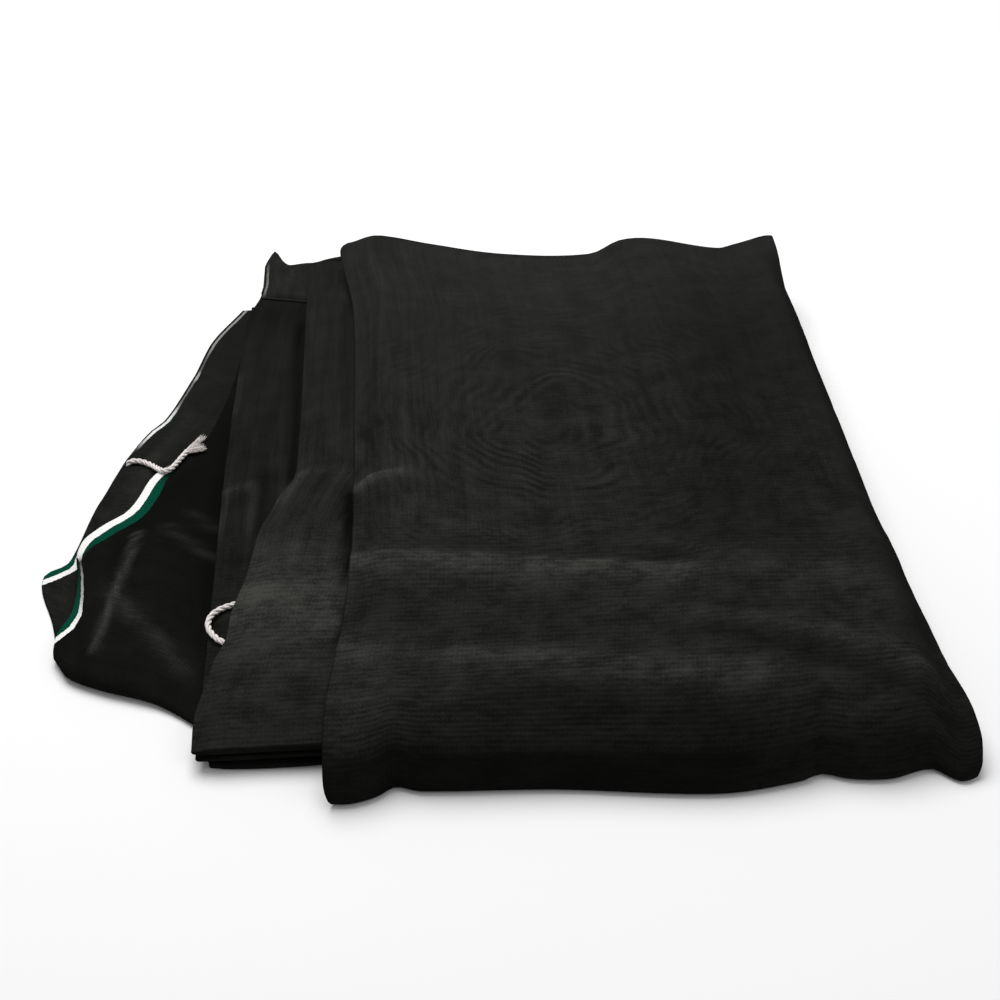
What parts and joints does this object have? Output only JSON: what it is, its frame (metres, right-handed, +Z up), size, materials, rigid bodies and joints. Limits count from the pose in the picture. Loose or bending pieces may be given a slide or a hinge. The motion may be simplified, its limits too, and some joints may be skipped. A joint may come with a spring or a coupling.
{
  "type": "folded olive harvesting net",
  "caption": "Fine black woven harvesting net folded back and forth into a soft pad, with its striped edges fanned out at one side and a thin twisted tie cord.",
  "frame": {"origin": "middle of the pad's outline in plan, on the surface it lies on", "axes": "+Z up, -Y towards the rounded front fold, -X towards the fanned striped edges"},
  "size_m": [0.7135, 0.7191, 0.0776],
  "materials": {
    "net": "matte black woven net with a soft sheen and white and green stripes along its edges",
    "cord": "off-white twisted cord"
  },
  "bodies": {
    "root": {"net": "net", "tie_cord": "cord", "tie_fray": "cord", "tie_loop": "cord"}
  },
  "joints": []
}
